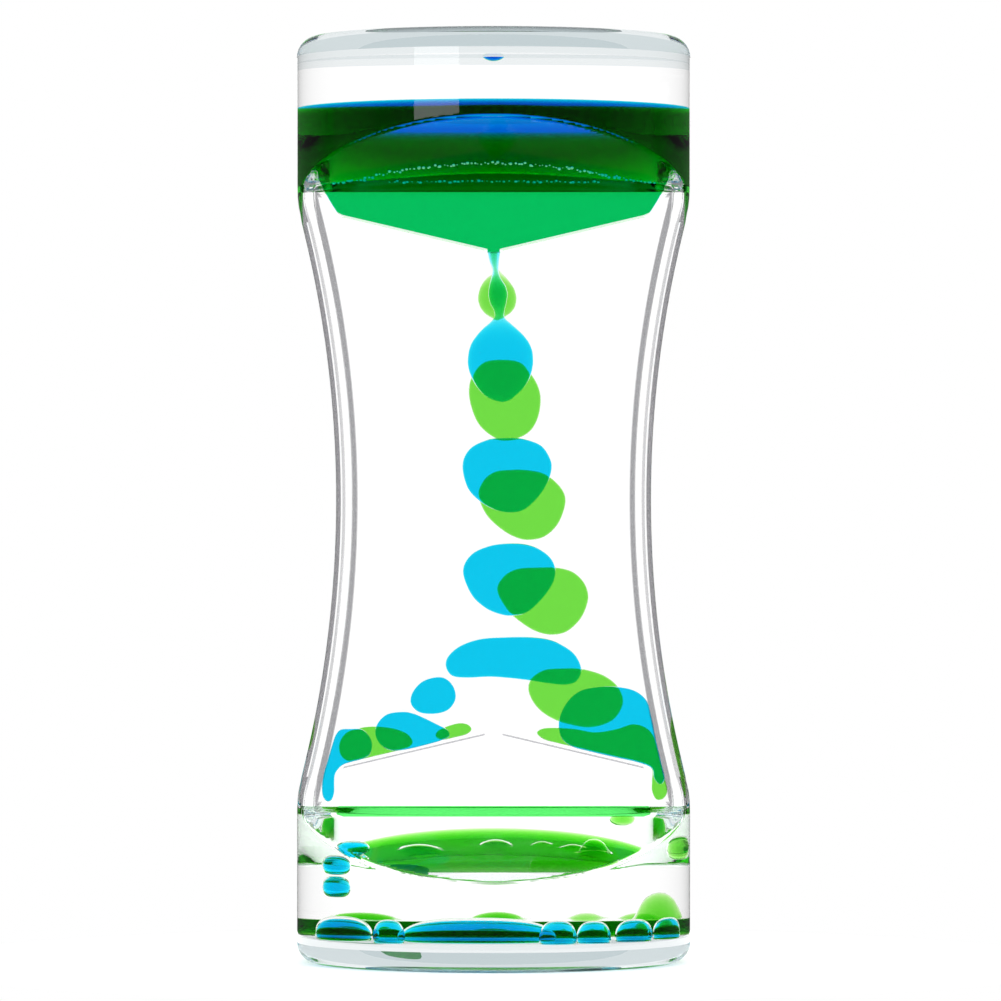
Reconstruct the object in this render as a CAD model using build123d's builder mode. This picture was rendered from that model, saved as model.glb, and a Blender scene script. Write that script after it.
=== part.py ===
"""Liquid motion timer: a clear casing with two flat chambers, one behind the other.

Coloured water runs from the upper end, drop by drop, through clear oil to the lower end.
Millimetres, +Z up, the front faces -Y, the base stands on z = 0 with the axis at x = y = 0.
"""
import os
from math import cos, radians, sin, sqrt

from build123d import *

# Casing
HEIGHT = 134.0
END_DIAMETER = 57.0
RIM_ROUND = 3.0
WAIST_WIDTH = 45.4
END_BAND = 24.0
FLANK_ROUND = 12.0
FLANK_RUNOUT = 0.2
PANEL_DEPTH = 14.5
PANEL_CORNER = 2.0
DRUM_FRONT = 13.0
SHOULDER_RISE = 8.8
SHOULDER_ROUND = 1.2
WALL = 2.3
END_WALL = 3.8

# End caps and fill plugs
RIM_WIDTH = 5.5
CAP_PLATE = 1.8
CAP_RECESS = 1.0
CAP_LEDGE = 2.5
CAP_EDGE = 0.4
GLUE_GAP = 0.1
PLUG_HEAD_DIAMETER = 9.0
PLUG_HEAD_HEIGHT = 1.0
PLUG_SHANK_DIAMETER = 5.0
PLUG_FROM_SEAT = 6.9
PLUG_TURN = 30.0
PLUG_GAP = 0.05

# Divider and funnels
DIVIDER = 1.5
DIVIDER_SEAT = 1.1
FUNNEL_GAP = 2.0
FUNNEL_SLOPE = 13.2
FUNNEL_THICKNESS = 2.0
FUNNEL_TIP_ROUND = 0.9
NOZZLE_FROM_END = 31.3
NOZZLE_BORE = 2.6

# Liquids
FILM = 0.3
POOL_FILM = 0.1
DROP_ROUND = 0.5
RESTING_ROUND = 0.15
POOL_DEPTH = 21.0
MENISCUS_RISE = 7.6
MENISCUS_WIDTH = 3.2
BUN_TOP = 0.55
BUN_FOOT = 0.3
CEILING_DROP_WIDTH = 2.6
CEILING_DROP_HEIGHT = 0.6
CEILING_DROP_Y = 12.0
NECK_BORE_RADIUS = 0.95
NECK_WAIST_RADIUS = 0.5
NECK_BEAD_RADIUS = 1.35
NECK_FOOT_RADIUS = 0.7
NECK_SINK = 0.8
SPILL_SHARE = 0.97
SPILL_CORNER = 2.5
SPILL_HEIGHT = 2.4

RADIUS = END_DIAMETER / 2
MID = HEIGHT / 2
FLOOR = END_WALL
CEILING = HEIGHT - END_WALL
FLANK_DEPTH = RADIUS - WAIST_WIDTH / 2
FLANK_HALF = MID - END_BAND
FLANK_RADIUS = (FLANK_HALF**2 + FLANK_DEPTH**2) / (2 * FLANK_DEPTH)
CHANNEL_NEAR = DIVIDER / 2
CHANNEL_FAR = PANEL_DEPTH / 2 - WALL
CHANNEL_MIDDLE = (CHANNEL_NEAR + CHANNEL_FAR) / 2
DROP_THICKNESS = CHANNEL_FAR - CHANNEL_NEAR - 2 * FILM
SLOPE_RISE = sin(radians(FUNNEL_SLOPE)) / cos(radians(FUNNEL_SLOPE))
PLATE_RISE = FUNNEL_THICKNESS / cos(radians(FUNNEL_SLOPE))
UPPER_NOZZLE = HEIGHT - NOZZLE_FROM_END
LOWER_NOZZLE = NOZZLE_FROM_END
ROOF_APEX = LOWER_NOZZLE + PLATE_RISE
POOL_TOP = UPPER_NOZZLE + POOL_DEPTH
FUNNEL_RUN = FLANK_RADIUS - sqrt(FLANK_RADIUS**2 - (UPPER_NOZZLE - MID) ** 2)

FUNNEL_HALF_SPAN = WAIST_WIDTH / 2 + FUNNEL_RUN - WALL - FUNNEL_GAP
CHANNEL_HALF = WAIST_WIDTH / 2 - WALL
FALL = UPPER_NOZZLE - PLATE_RISE - ROOF_APEX
BOWL_RADIUS = RADIUS - WALL
PLUG_ARM = RADIUS - RIM_WIDTH - PLUG_FROM_SEAT
PLUG_X = PLUG_ARM * cos(radians(PLUG_TURN))
PLUG_Y = PLUG_ARM * sin(radians(PLUG_TURN))

FRONT = -1
BACK = 1

os.makedirs("parts", exist_ok=True)


def flank_half_width(z):
    """Half of the casing's width at height z, on the curved flank."""
    return WAIST_WIDTH / 2 + FLANK_RADIUS - sqrt(FLANK_RADIUS**2 - (z - MID) ** 2)


def front_outline():
    """The casing seen from the front: straight ends, just outside the drums, and two flanks."""
    edge = RADIUS + FLANK_RUNOUT
    reach = sqrt(FLANK_RADIUS**2 - (FLANK_RADIUS + WAIST_WIDTH / 2 - edge) ** 2)
    with BuildSketch(Plane.XZ) as outline:
        with BuildLine():
            for side in (1, -1):
                Line((0, 0), (side * edge, 0))
                Line((side * edge, 0), (side * edge, MID - reach))
                ThreePointArc(
                    (side * edge, MID - reach),
                    (side * WAIST_WIDTH / 2, MID),
                    (side * edge, MID + reach),
                )
                Line((side * edge, MID + reach), (side * edge, HEIGHT))
                Line((side * edge, HEIGHT), (0, HEIGHT))
        make_face()
        flank_ends = outline.vertices().filter_by(
            lambda v: abs(abs(v.Y - MID) - reach) < 0.01
        )
        fillet(flank_ends, FLANK_ROUND)
    return outline.sketch_local


def side_outline():
    """The casing seen from the side: drums at the ends and a thin flat panel between."""
    half = PANEL_DEPTH / 2
    foot = DRUM_FRONT + SHOULDER_RISE
    with BuildSketch(Plane.YZ) as outline:
        with BuildLine():
            for side in (1, -1):
                Polyline(
                    (0, 0),
                    (side * RADIUS, 0),
                    (side * RADIUS, DRUM_FRONT),
                    (side * half, foot),
                    (side * half, HEIGHT - foot),
                    (side * RADIUS, HEIGHT - DRUM_FRONT),
                    (side * RADIUS, HEIGHT),
                    (0, HEIGHT),
                )
        make_face()
        shoulder_ends = outline.vertices().filter_by(
            lambda v: abs(v.X) > half - 0.01 and 0.01 < v.Y < HEIGHT - 0.01
        )
        fillet(shoulder_ends, SHOULDER_ROUND)
    return outline.sketch_local


def body_form(inset, end_inset, corner, rim):
    """The casing's whole form, drawn in by inset on its sides and end_inset at its ends."""
    foot = DRUM_FRONT + SHOULDER_RISE
    with BuildPart() as drum:
        with Locations((0, 0, MID)):
            Cylinder(RADIUS - inset, HEIGHT - 2 * end_inset)
        fillet(drum.edges().filter_by(GeomType.CIRCLE), rim)
    with BuildPart() as panel:
        with BuildSketch(Plane.XZ):
            add(front_outline())
            if inset:
                offset(amount=-inset)
        extrude(amount=PANEL_DEPTH / 2 - inset, both=True)
        fillet(panel.faces().filter_by(Axis.Y).edges(), corner)
        add(drum.part, mode=Mode.INTERSECT)
    with BuildPart() as form:
        add(drum.part)
        with BuildSketch(Plane.YZ):
            add(side_outline())
            if inset:
                offset(amount=-inset)
            with Locations((0, MID)):
                Rectangle(2 * END_DIAMETER, HEIGHT - 2 * foot, mode=Mode.SUBTRACT)
        extrude(amount=END_DIAMETER, both=True, mode=Mode.INTERSECT)
        add(panel.part)
    return form.part


casing = body_form(0, 0, PANEL_CORNER, RIM_ROUND)
cavity = body_form(WALL, END_WALL, PANEL_CORNER / 4, RIM_ROUND / 4)


def publish(part, node):
    """Names a finished piece and writes its file."""
    part.label = node
    export_step(part, f"parts/{node}.step")


def channel_start(side, gap):
    """Distance towards the front at which the channel on this side begins."""
    if side == FRONT:
        return CHANNEL_NEAR + gap
    return gap - CHANNEL_FAR


def pick(side, front_name, back_name):
    """The name that goes with this side."""
    return front_name if side == FRONT else back_name


def liquid(side):
    """The colour word of the liquid on this side."""
    return pick(side, "blue", "green")


# Divider plate, seated in a groove in both flanks
with BuildPart() as divider:
    with BuildSketch(Plane.XZ):
        add(front_outline())
        offset(amount=DIVIDER_SEAT - WALL)
        with Locations((0, MID)):
            Rectangle(2 * END_DIAMETER, CEILING - FLOOR, mode=Mode.INTERSECT)
    extrude(amount=DIVIDER / 2, both=True)
publish(divider.part, "divider_plate")

# Casing halves, with a stepped opening at each end for the caps
SEAT_RADIUS = RADIUS - RIM_WIDTH
OPENING_RADIUS = SEAT_RADIUS - CAP_LEDGE
for side in (FRONT, BACK):
    with BuildPart() as shell:
        add(casing)
        add(cavity, mode=Mode.SUBTRACT)
        with Locations((0, 0, HEIGHT), Location((0, 0, 0), (180, 0, 0))):
            CounterBoreHole(OPENING_RADIUS, SEAT_RADIUS, CAP_RECESS + CAP_PLATE, END_WALL)
        split(bisect_by=Plane.XZ, keep=pick(side, Keep.TOP, Keep.BOTTOM))
        add(divider.part, mode=Mode.SUBTRACT)
    publish(shell.part, pick(side, "front_shell", "rear_shell"))

# End caps: a plate on the ledge and a spigot that closes the opening
CAP_RADIUS = SEAT_RADIUS - GLUE_GAP
with BuildPart() as upper_cap:
    with BuildSketch(Plane.XY.offset(CEILING)):
        Circle(OPENING_RADIUS - GLUE_GAP)
    extrude(amount=END_WALL - CAP_RECESS)
    with BuildSketch(Plane.XY.offset(HEIGHT - CAP_RECESS)):
        Circle(CAP_RADIUS)
    extrude(amount=-CAP_PLATE)
    chamfer(upper_cap.edges().group_by(Axis.Z)[-1], CAP_EDGE)
publish(upper_cap.part, "upper_end_cap")

with BuildPart() as lower_cap:
    add(mirror(upper_cap.part, about=Plane.XY.offset(MID), mode=Mode.PRIVATE))
    for side in (FRONT, BACK):
        with Locations(Location((-side * PLUG_X, side * PLUG_Y, CAP_RECESS), (180, 0, 0))):
            CounterBoreHole(
                PLUG_SHANK_DIAMETER / 2, PLUG_HEAD_DIAMETER / 2, PLUG_HEAD_HEIGHT, END_WALL
            )
publish(lower_cap.part, "lower_end_cap")

# Fill plugs, flush with both faces of the lower cap
for side in (FRONT, BACK):
    with BuildPart() as plug:
        with BuildSketch(Plane.XY.offset(CAP_RECESS)):
            with Locations((-side * PLUG_X, side * PLUG_Y)):
                Circle(PLUG_HEAD_DIAMETER / 2 - PLUG_GAP)
        extrude(amount=PLUG_HEAD_HEIGHT)
        with BuildSketch(Plane.XY.offset(CAP_RECESS)):
            with Locations((-side * PLUG_X, side * PLUG_Y)):
                Circle(PLUG_SHANK_DIAMETER / 2 - PLUG_GAP)
        extrude(amount=END_WALL - CAP_RECESS)
        chamfer(plug.edges().group_by(Axis.Z)[0], CAP_EDGE / 2)
    publish(plug.part, pick(side, "front_fill_plug", "rear_fill_plug"))


def funnel(side):
    """A sloping plate with a nozzle bore in its middle, at the top of one channel."""
    tip = FUNNEL_HALF_SPAN * SLOPE_RISE
    with BuildPart() as plate:
        with BuildSketch(Plane.XZ.offset(channel_start(side, 0))) as profile:
            with BuildLine():
                Polyline(
                    (0, UPPER_NOZZLE),
                    (FUNNEL_HALF_SPAN, UPPER_NOZZLE + tip),
                    (FUNNEL_HALF_SPAN, UPPER_NOZZLE + tip - PLATE_RISE),
                    (0, UPPER_NOZZLE - PLATE_RISE),
                    (-FUNNEL_HALF_SPAN, UPPER_NOZZLE + tip - PLATE_RISE),
                    (-FUNNEL_HALF_SPAN, UPPER_NOZZLE + tip),
                    close=True,
                )
            make_face()
            tips = profile.vertices().filter_by(lambda v: abs(v.X) > FUNNEL_HALF_SPAN / 2)
            fillet(tips, FUNNEL_TIP_ROUND)
        extrude(amount=CHANNEL_FAR - CHANNEL_NEAR)
        with Locations((0, side * CHANNEL_MIDDLE, UPPER_NOZZLE + tip)):
            Hole(NOZZLE_BORE / 2)
    return plate.part


for side in (FRONT, BACK):
    with BuildPart() as upper_funnel:
        add(funnel(side))
    publish(upper_funnel.part, pick(side, "front_upper_funnel", "rear_upper_funnel"))
    with BuildPart() as lower_funnel:
        add(mirror(funnel(side), about=Plane.XY.offset(MID), mode=Mode.PRIVATE))
    publish(lower_funnel.part, pick(side, "front_lower_funnel", "rear_lower_funnel"))

# Upper pools, standing on the funnels up to the waterline
pool_room = body_form(WALL + POOL_FILM, END_WALL + POOL_FILM, PANEL_CORNER / 4, RIM_ROUND / 4)
tip_z = UPPER_NOZZLE + FUNNEL_HALF_SPAN * SLOPE_RISE + 2 * POOL_FILM
brim_x = FUNNEL_HALF_SPAN + MENISCUS_WIDTH
brim_z = tip_z + MENISCUS_RISE
for side in (FRONT, BACK):
    with BuildPart() as pool:
        with BuildSketch(Plane.XZ.offset(-side * (CHANNEL_NEAR + POOL_FILM))):
            with BuildLine():
                for hand in (1, -1):
                    Line((0, UPPER_NOZZLE + 2 * POOL_FILM), (hand * FUNNEL_HALF_SPAN, tip_z))
                    ThreePointArc(
                        (hand * FUNNEL_HALF_SPAN, tip_z),
                        (hand * (brim_x - 0.35 * MENISCUS_WIDTH), tip_z + 0.42 * MENISCUS_RISE),
                        (hand * brim_x, brim_z),
                    )
                    Line((hand * brim_x, brim_z), (hand * RADIUS, brim_z))
                    Line((hand * RADIUS, brim_z), (hand * RADIUS, POOL_TOP))
                    Line((hand * RADIUS, POOL_TOP), (0, POOL_TOP))
            make_face()
        extrude(amount=-side * RADIUS)
        add(pool_room, mode=Mode.INTERSECT)
    publish(pool.part, f"{liquid(side)}_upper_pool")


def flat_drop(side, points, edge_round):
    """A drop between the plates of one channel, with a smooth outline through points of x, z."""
    with BuildPart() as drop:
        with BuildSketch(Plane.XZ.offset(channel_start(side, FILM))):
            with BuildLine():
                Spline(*points, periodic=True)
            make_face()
        extrude(amount=DROP_THICKNESS)
        fillet(drop.faces().filter_by(Axis.Y).edges(), edge_round)
    return drop.part


def neck(side, x, bottom, beaded):
    """The thread of liquid from the nozzle to a hanging drop."""
    top = UPPER_NOZZLE
    reach = top - bottom
    with BuildPart() as thread:
        with BuildSketch(Plane.XZ.offset(-side * CHANNEL_MIDDLE)):
            with BuildLine():
                if beaded:
                    flow = Spline(
                        (NECK_BORE_RADIUS, top),
                        (NECK_WAIST_RADIUS, top - 0.26 * reach),
                        (NECK_BEAD_RADIUS, top - 0.6 * reach),
                        (NECK_FOOT_RADIUS, top - 0.9 * reach),
                        (NECK_BORE_RADIUS, bottom),
                    )
                else:
                    flow = Spline(
                        (NECK_BORE_RADIUS, top),
                        (NECK_WAIST_RADIUS, top - 0.6 * reach),
                        (NECK_BORE_RADIUS, bottom),
                    )
                Polyline(flow @ 1, (0, bottom), (0, top), flow @ 0)
            make_face()
        revolve(axis=Axis((0, side * CHANNEL_MIDDLE, 0), (0, 0, 1)))
    return thread.part.moved(Location((x, 0, 0)))


# Outlines of the falling drops, from the nozzle down: x as a share of the channel's half
# width, and height over the lower funnel as a share of the fall
BLUE_TRAIN = (
    (
        (0.043, 0.885), (0.144, 0.870), (0.224, 0.849), (0.272, 0.825), (0.282, 0.795),
        (0.259, 0.763), (0.192, 0.731), (0.126, 0.714), (0.064, 0.709), (-0.016, 0.714),
        (-0.096, 0.733), (-0.158, 0.763), (-0.185, 0.795), (-0.172, 0.822), (-0.122, 0.851),
        (-0.046, 0.873),
    ),
    (
        (0.082, 0.632), (-0.043, 0.628), (-0.167, 0.609), (-0.220, 0.574), (-0.185, 0.526),
        (-0.096, 0.496), (0.011, 0.478), (0.117, 0.472), (0.215, 0.478), (0.312, 0.504),
        (0.383, 0.537), (0.412, 0.569), (0.392, 0.593), (0.330, 0.617), (0.206, 0.630),
    ),
    (
        (0.117, 0.406), (-0.025, 0.401), (-0.158, 0.382), (-0.217, 0.346), (-0.158, 0.297),
        (-0.060, 0.268), (0.046, 0.254), (0.135, 0.251), (0.241, 0.259), (0.348, 0.289),
        (0.419, 0.321), (0.438, 0.348), (0.410, 0.372), (0.339, 0.391), (0.241, 0.403),
    ),
    (
        (0.082, 0.205), (-0.096, 0.201), (-0.238, 0.186), (-0.323, 0.163), (-0.337, 0.141),
        (-0.291, 0.122), (-0.185, 0.118), (-0.025, 0.120), (0.117, 0.117), (0.259, 0.112),
        (0.383, 0.106), (0.508, 0.103), (0.588, 0.111), (0.621, 0.136), (0.582, 0.165),
        (0.508, 0.184), (0.401, 0.199), (0.259, 0.205),
    ),
)
GREEN_TRAIN = (
    (
        (0.025, 0.987), (-0.069, 0.973), (-0.114, 0.929), (-0.069, 0.901), (0.025, 0.887),
        (0.126, 0.903), (0.165, 0.932), (0.126, 0.966),
    ),
    (
        (0.064, 0.801), (-0.069, 0.795), (-0.149, 0.768), (-0.176, 0.736), (-0.158, 0.698),
        (-0.096, 0.658), (0.028, 0.630), (0.153, 0.630), (0.259, 0.647), (0.316, 0.677),
        (0.335, 0.714), (0.316, 0.744), (0.259, 0.773), (0.188, 0.795),
    ),
    (
        (0.117, 0.564), (0.011, 0.560), (-0.069, 0.542), (-0.108, 0.510), (-0.051, 0.467),
        (0.064, 0.434), (0.170, 0.417), (0.259, 0.413), (0.366, 0.421), (0.458, 0.448),
        (0.508, 0.488), (0.499, 0.515), (0.437, 0.539), (0.348, 0.557), (0.224, 0.564),
    ),
    (
        (0.312, 0.354), (0.170, 0.351), (0.073, 0.335), (0.025, 0.305), (0.099, 0.262),
        (0.206, 0.233), (0.312, 0.215), (0.419, 0.209), (0.525, 0.217), (0.623, 0.246),
        (0.671, 0.284), (0.659, 0.311), (0.614, 0.332), (0.543, 0.347), (0.437, 0.354),
    ),
    (
        (0.490, 0.137), (0.366, 0.134), (0.277, 0.118), (0.245, 0.095), (0.273, 0.068),
        (0.339, 0.044), (0.437, 0.026), (0.543, 0.016), (0.667, 0.010), (0.783, 0.016),
        (0.872, 0.033), (0.920, 0.066), (0.880, 0.098), (0.792, 0.120), (0.685, 0.132),
        (0.588, 0.137),
    ),
)
for side, train, beaded in ((FRONT, BLUE_TRAIN, True), (BACK, GREEN_TRAIN, False)):
    for index, outline in enumerate(train):
        points = [(x * CHANNEL_HALF, ROOF_APEX + z * FALL) for x, z in outline]
        with BuildPart() as faller:
            add(flat_drop(side, points, DROP_ROUND))
            if index == 0:
                top_x, top_z = points[0]
                add(neck(side, top_x / 2, top_z - NECK_SINK, beaded))
        publish(faller.part, f"{liquid(side)}_drop_{index}")


def roof(x):
    """Height of the lower funnel's upper face at this distance from the middle."""
    return ROOF_APEX - abs(x) * SLOPE_RISE


def wall_x(z):
    """Clear half width of the channel at height z."""
    return flank_half_width(z) - WALL - 2 * FILM


# Outlines of the drops on the lower funnels and in the gaps at their ends, as shares of the
# funnel's half span: x, and height over the slope
RESTING = {
    "blue_ramp_left_upper": (
        (-0.371, 0.446), (-0.460, 0.438), (-0.521, 0.385), (-0.534, 0.318), (-0.492, 0.256),
        (-0.427, 0.223), (-0.346, 0.209), (-0.282, 0.223), (-0.244, 0.279), (-0.257, 0.355),
        (-0.306, 0.420),
    ),
    "blue_ramp_left_lower": (
        (-0.589, 0.274), (-0.686, 0.281), (-0.748, 0.236), (-0.762, 0.170), (-0.727, 0.093),
        (-0.654, 0.040), (-0.557, 0.025), (-0.443, 0.025), (-0.346, 0.030), (-0.287, 0.045),
        (-0.296, 0.087), (-0.363, 0.140), (-0.460, 0.210), (-0.524, 0.250),
    ),
    "blue_gap_left": (
        (-0.985, 0.252), (-0.925, 0.243), (-0.850, 0.222), (-0.800, 0.165), (-0.782, 0.100),
        (-0.800, 0.048), (-0.850, 0.030), (-0.915, 0.028), (-0.975, 0.020), (-1.018, -0.020),
        (-1.026, -0.075), (-1.026, -0.135), (-1.040, -0.182), (-1.070, -0.190),
        (-1.098, -0.155), (-1.106, -0.090), (-1.095, -0.010), (-1.067, 0.080),
        (-1.040, 0.165), (-1.017, 0.225),
    ),
    "blue_gap_right": (
        (0.673, 0.454), (0.552, 0.397), (0.466, 0.296), (0.421, 0.175), (0.435, 0.075),
        (0.503, 0.032), (0.609, 0.026), (0.770, 0.026), (0.932, 0.028), (1.020, 0.010),
        (1.035, -0.050), (1.072, -0.080), (1.103, -0.036), (1.083, 0.055), (1.049, 0.193),
        (1.016, 0.347), (0.985, 0.440), (0.908, 0.485), (0.795, 0.483),
    ),
    "green_ramp_left_tip": (
        (-0.217, 0.109), (-0.290, 0.109), (-0.358, 0.093), (-0.374, 0.060), (-0.330, 0.028),
        (-0.249, 0.025), (-0.178, 0.027), (-0.143, 0.048), (-0.163, 0.085),
    ),
    "green_ramp_left": (
        (-0.767, 0.216), (-0.864, 0.230), (-0.950, 0.220), (-0.996, 0.165), (-0.992, 0.090),
        (-0.945, 0.036), (-0.864, 0.025), (-0.767, 0.025), (-0.686, 0.025), (-0.600, 0.026),
        (-0.540, 0.035), (-0.524, 0.066), (-0.565, 0.125), (-0.654, 0.178),
    ),
    "green_gap_right": (
        (0.900, 0.262), (0.795, 0.206), (0.657, 0.153), (0.528, 0.143), (0.398, 0.121),
        (0.318, 0.097), (0.280, 0.060), (0.325, 0.030), (0.414, 0.026), (0.576, 0.026),
        (0.770, 0.026), (0.932, 0.028), (1.020, 0.005), (1.024, -0.073), (1.024, -0.139),
        (1.052, -0.188), (1.100, -0.170), (1.124, -0.112), (1.105, -0.029), (1.068, 0.116),
        (1.040, 0.206), (0.987, 0.258),
    ),
}
for node, outline in RESTING.items():
    side = FRONT if node.startswith(liquid(FRONT)) else BACK
    points = []
    for share, lift in outline:
        x = share * FUNNEL_HALF_SPAN
        z = roof(x) + lift * FUNNEL_HALF_SPAN
        points.append((max(min(x, wall_x(z)), -wall_x(z)), z))
    with BuildPart() as puddle:
        add(flat_drop(side, points, RESTING_ROUND))
    publish(puddle.part, node)


def bun(x, y, lift, width, depth, height):
    """A drop that lies lift over the floor, flattened by its weight. Its place and its sizes
    are shares of the lower end's inner radius."""
    short = min(width, depth) * BOWL_RADIUS
    long = max(width, depth) * BOWL_RADIUS
    sharpest = 0.4 * short**2 / long
    with BuildPart() as lump:
        with BuildSketch(Plane.XY.offset(FLOOR + POOL_FILM + lift)):
            with Locations((x * BOWL_RADIUS, y * BOWL_RADIUS)):
                Ellipse(width * BOWL_RADIUS / 2, depth * BOWL_RADIUS / 2)
        extrude(amount=height * BOWL_RADIUS)
        top = min(BUN_TOP * height * BOWL_RADIUS, sharpest)
        foot = min(BUN_FOOT * height * BOWL_RADIUS, sharpest)
        fillet(lump.edges().group_by(Axis.Z)[-1], top)
        fillet(lump.edges().group_by(Axis.Z)[0], foot)
    return lump.part


# Drops on the floor of the lower end: x, distance from the divider, width, depth, height
BLUE_FLOOR = (
    (-0.721, 0.366, 0.357, 0.357, 0.130),
    (-0.530, 0.725, 0.179, 0.179, 0.130),
    (-0.077, 0.592, 0.737, 0.344, 0.137),
    (0.326, 0.813, 0.198, 0.198, 0.130),
    (0.505, 0.725, 0.190, 0.190, 0.122),
    (0.695, 0.519, 0.230, 0.230, 0.122),
    (0.835, 0.263, 0.215, 0.215, 0.118),
)
GREEN_FLOOR = (
    (-0.412, 0.344, 0.314, 0.400, 0.134),
    (0.011, 0.470, 0.229, 0.340, 0.137),
    (0.270, 0.500, 0.150, 0.150, 0.122),
    (0.440, 0.420, 0.180, 0.180, 0.122),
)
with BuildPart() as blue_floor:
    for x, y, width, depth, height in BLUE_FLOOR:
        add(bun(x, FRONT * y, 0, width, depth, height))
publish(blue_floor.part, "blue_floor_drops")

# Behind the divider the drops have run together over the whole floor
with BuildPart() as green_floor:
    with BuildSketch(Plane.XY.offset(FLOOR + POOL_FILM)) as spill:
        Circle(SPILL_SHARE * BOWL_RADIUS)
        with Locations((0, BACK * (CHANNEL_NEAR + 2 * FILM))):
            Rectangle(
                2 * BOWL_RADIUS,
                BOWL_RADIUS,
                align=(Align.CENTER, Align.MIN),
                mode=Mode.INTERSECT,
            )
        fillet(spill.vertices(), SPILL_CORNER)
    extrude(amount=SPILL_HEIGHT)
    fillet(green_floor.edges().group_by(Axis.Z)[-1], SPILL_HEIGHT / 2)
    fillet(green_floor.edges().group_by(Axis.Z)[0], SPILL_HEIGHT / 5)
    for x, y, width, depth, height in GREEN_FLOOR:
        add(bun(x, BACK * y, 0, width, depth, height))
    add(bun(0.557, BACK * 0.267, SPILL_HEIGHT / 2, 0.180, 0.180, 0.190))
publish(green_floor.part, "green_floor_drops")

# Drops still sinking through the lower end
with BuildPart() as blue_sinking:
    add(bun(-0.771, -0.420, 0.723 * DRUM_FRONT, 0.190, 0.190, 0.107))
    add(bun(-0.771, -0.420, 0.477 * DRUM_FRONT, 0.190, 0.190, 0.114))
publish(blue_sinking.part, "blue_sinking_drops")
with BuildPart() as green_sinking:
    add(bun(0.714, 0.160, 0.840 * DRUM_FRONT, 0.150, 0.150, 0.130))
publish(green_sinking.part, "green_sinking_drop")

# A last drop that clings under the upper cap
with BuildPart() as ceiling_drop:
    with BuildSketch(Plane.XZ.offset(CEILING_DROP_Y)):
        with BuildLine():
            low = CEILING - POOL_FILM - CEILING_DROP_HEIGHT
            arc = ThreePointArc(
                (-CEILING_DROP_WIDTH / 2, CEILING - POOL_FILM),
                (0, low),
                (CEILING_DROP_WIDTH / 2, CEILING - POOL_FILM),
            )
            Line(arc @ 0, arc @ 1)
        make_face()
        with Locations((-CEILING_DROP_WIDTH / 2, MID)):
            Rectangle(CEILING_DROP_WIDTH, HEIGHT, mode=Mode.SUBTRACT)
    revolve(axis=Axis((0, -CEILING_DROP_Y, 0), (0, 0, 1)))
publish(ceiling_drop.part, "blue_ceiling_drop")
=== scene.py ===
"""Look of the liquid motion timer: a clear casing full of oil, blue water before lime water.

Lengths are millimetres until a mesh is made. The front faces -Y and the base stands on z = 0.
"""

from math import cos, pi, radians, sin

import bpy
import numpy as np
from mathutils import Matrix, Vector
from mathutils.geometry import delaunay_2d_cdt


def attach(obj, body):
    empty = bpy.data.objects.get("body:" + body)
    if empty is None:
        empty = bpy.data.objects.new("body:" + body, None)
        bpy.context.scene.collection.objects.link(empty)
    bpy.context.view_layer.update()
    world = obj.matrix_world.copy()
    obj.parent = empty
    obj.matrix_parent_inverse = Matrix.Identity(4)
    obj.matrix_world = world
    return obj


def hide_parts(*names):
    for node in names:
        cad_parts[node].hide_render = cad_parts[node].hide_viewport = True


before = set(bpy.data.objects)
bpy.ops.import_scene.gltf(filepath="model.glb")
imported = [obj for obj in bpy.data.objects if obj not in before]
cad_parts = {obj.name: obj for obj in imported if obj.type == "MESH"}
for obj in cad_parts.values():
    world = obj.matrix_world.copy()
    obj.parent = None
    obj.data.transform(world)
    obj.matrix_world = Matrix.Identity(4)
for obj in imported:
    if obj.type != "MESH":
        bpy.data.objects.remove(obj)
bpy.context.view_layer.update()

MM = 0.001
FRONT = -1
BACK = 1

# Casing, as in the part
HEIGHT = 134.0
MID = 67.0
RADIUS = 28.5
RIM_ROUND = 3.0
WAIST_HALF = 22.7
FLANK_RADIUS = 162.3
FLANK_RUNOUT = 0.2
FLANK_BLEND = 0.5
PANEL_HALF = 7.25
PANEL_CORNER = 2.0
SHOULDER_START = 45.2
SHOULDER_PITCH = 21.25 / 8.8
SHOULDER_TILT = 0.3826
SHOULDER_ROUND = 1.2
DRUM_EDGE = 0.5
WALL = 2.3
FLOOR = 3.8
CEILING = HEIGHT - FLOOR
SEAT_RADIUS = 23.0
OPENING_RADIUS = 20.5
CAP_RECESS = 1.0
INNER_CORNER = 0.5
INNER_RIM = 0.75
PLUG_PLACES = ((13.94, -8.05), (-13.94, 8.05))
PLUG_HEAD_RADIUS = 4.5
PLUG_SHANK_RADIUS = 2.5

# Inside
CHANNEL_NEAR = 0.75
CHANNEL_FAR = 4.95
CHANNEL_MIDDLE = 2.85
FILM = 0.3
POOL_FILM = 0.1
FUNNEL_SLOPE = 13.2
SLOPE_RISE = 0.23455
PLATE_RISE = 2.054
FUNNEL_HALF = 22.376
FUNNEL_TIP_ROUND = 0.9
BORE = 1.3
UPPER_NOZZLE = 102.7
ROOF_APEX = 33.354
BOWL = 26.2
CHANNEL_HALF = 20.4
FALL = 67.29

# Upper pools: their curved ends, and the roundness of their edges
POOL_TOP = 123.7
POOL_NECK = 0.9
MENISCUS_RISE = 7.6
MENISCUS_WIDTH = 3.2
MENISCUS_POWER = 1.7
MENISCUS_RUNOUT = 8
MENISCUS_EDGE = 0.3
POOL_EDGE = 0.15

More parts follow.
